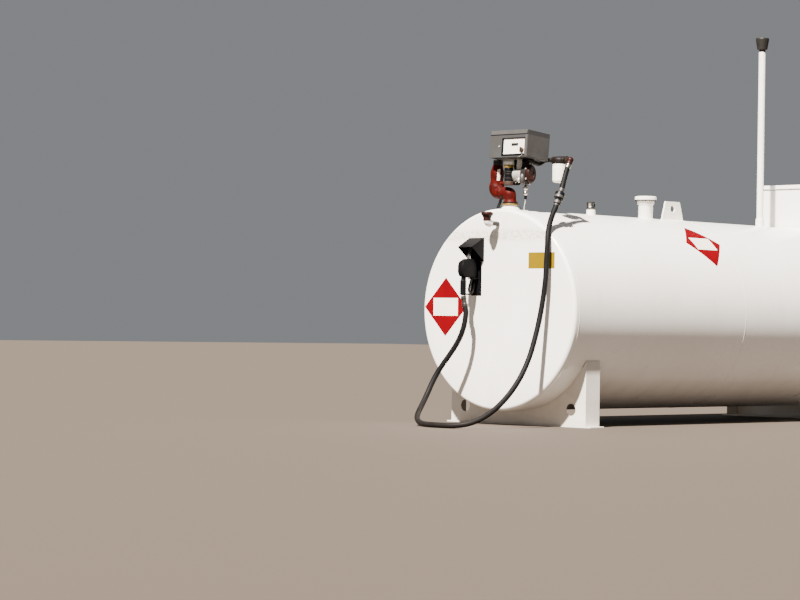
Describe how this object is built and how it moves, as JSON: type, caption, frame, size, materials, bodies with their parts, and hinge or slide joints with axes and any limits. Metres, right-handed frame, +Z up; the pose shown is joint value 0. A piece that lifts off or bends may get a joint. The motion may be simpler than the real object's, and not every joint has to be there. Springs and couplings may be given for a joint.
{
  "type": "horizontal fuel storage tank",
  "caption": "White horizontal above-ground fuel tank on saddles, with a top pump, register, filter, hose and nozzle, vents and a lidded fill box.",
  "frame": {"origin": "on the ground, under the middle of the tank and its fittings", "axes": "+Z up, +Y along the tank from the pump end to the fill box end, +X to the right seen from the pump end"},
  "size_m": [1.31, 4.3671, 2.782],
  "materials": {
    "white_paint": "gloss white paint, lightly weathered",
    "yellow_zinc": "yellow passivated steel, stained",
    "red_paint": "semi-gloss red paint over a casting",
    "dark_red_paint": "faded dark red paint",
    "black_paint": "semi-gloss black paint",
    "cast_aluminium": "as cast",
    "grey_paint": "weathered grey paint",
    "white_enamel": "satin",
    "dark_grey_metal": "dull",
    "brown_iron": "brown, dull",
    "cream_paint": "gloss cream paint",
    "hose_rubber": "smooth rubber cover",
    "black_plastic": "moulded cover"
  },
  "bodies": {
    "tank": {"shell_front_course": "white_paint", "shell_rear_course": "white_paint", "front_head": "white_paint", "rear_head": "white_paint", "front_saddle_web": "white_paint", "front_saddle_seat": "white_paint", "front_saddle_foot": "white_paint", "rear_saddle_web": "white_paint", "rear_saddle_seat": "white_paint", "rear_saddle_foot": "white_paint", "pump_riser": "white_paint", "pump_flange": "yellow_zinc", "pump_casting": "red_paint", "pump_motor": "black_paint", "meter_body": "cast_aluminium", "meter_cover": "dark_red_paint", "register_housing": "grey_paint", "register_lid": "grey_paint", "register_face": "white_enamel", "outlet_pipe": "brown_iron", "filter_head": "dark_grey_metal", "filter_canister": "cream_paint", "hose_swivel": "dark_red_paint", "hose_upper": "hose_rubber", "breakaway": "black_paint", "hose_lower": "hose_rubber", "nozzle_swivel": "brown_iron", "nozzle_body": "black_plastic", "nozzle_spout": "cast_aluminium", "nozzle_guard": "black_plastic", "boot_hood": "black_plastic", "boot_plate": "black_plastic", "head_nipple": "brown_iron", "head_elbow": "white_paint", "head_elbow_cap": "brown_iron", "level_gauge": "white_paint", "emergency_vent_stub": "white_paint", "lifting_lug": "white_paint", "vent_pipe": "white_paint", "vent_cap": "dark_grey_metal", "fill_box": "white_paint", "fill_pipe_cap": "cast_aluminium"},
    "lid": {"fill_box_lid": "white_paint"},
    "vent_poppet": {"emergency_vent_cap": "white_paint"},
    "knob": {"reset_knob": "dark_grey_metal"},
    "lever": {"nozzle_lever": "black_paint"}
  },
  "joints": [
    {"name": "lid_hinge", "type": "hinge", "parent": "tank", "child": "lid", "pos_m": [0, 1.8185, 1.687], "axis": [-1, 0, 0], "range_deg": [0, 105]},
    {"name": "vent_lift", "type": "slide", "parent": "tank", "child": "vent_poppet", "axis": [0, 0, 1], "range_m": [0, 0.038]},
    {"name": "knob_turn", "type": "hinge", "parent": "tank", "child": "knob", "pos_m": [0.1765, -1.73708, 1.78055], "axis": [0, -0.9959, 0.0906], "continuous": true},
    {"name": "lever_squeeze", "type": "hinge", "parent": "tank", "child": "lever", "pos_m": [-0.181, -1.807, 0.946], "axis": [-1, 0, 0], "range_deg": [0, 17], "stiffness_Nm_per_rad": 0.6, "springref_deg": -17.19}
  ]
}
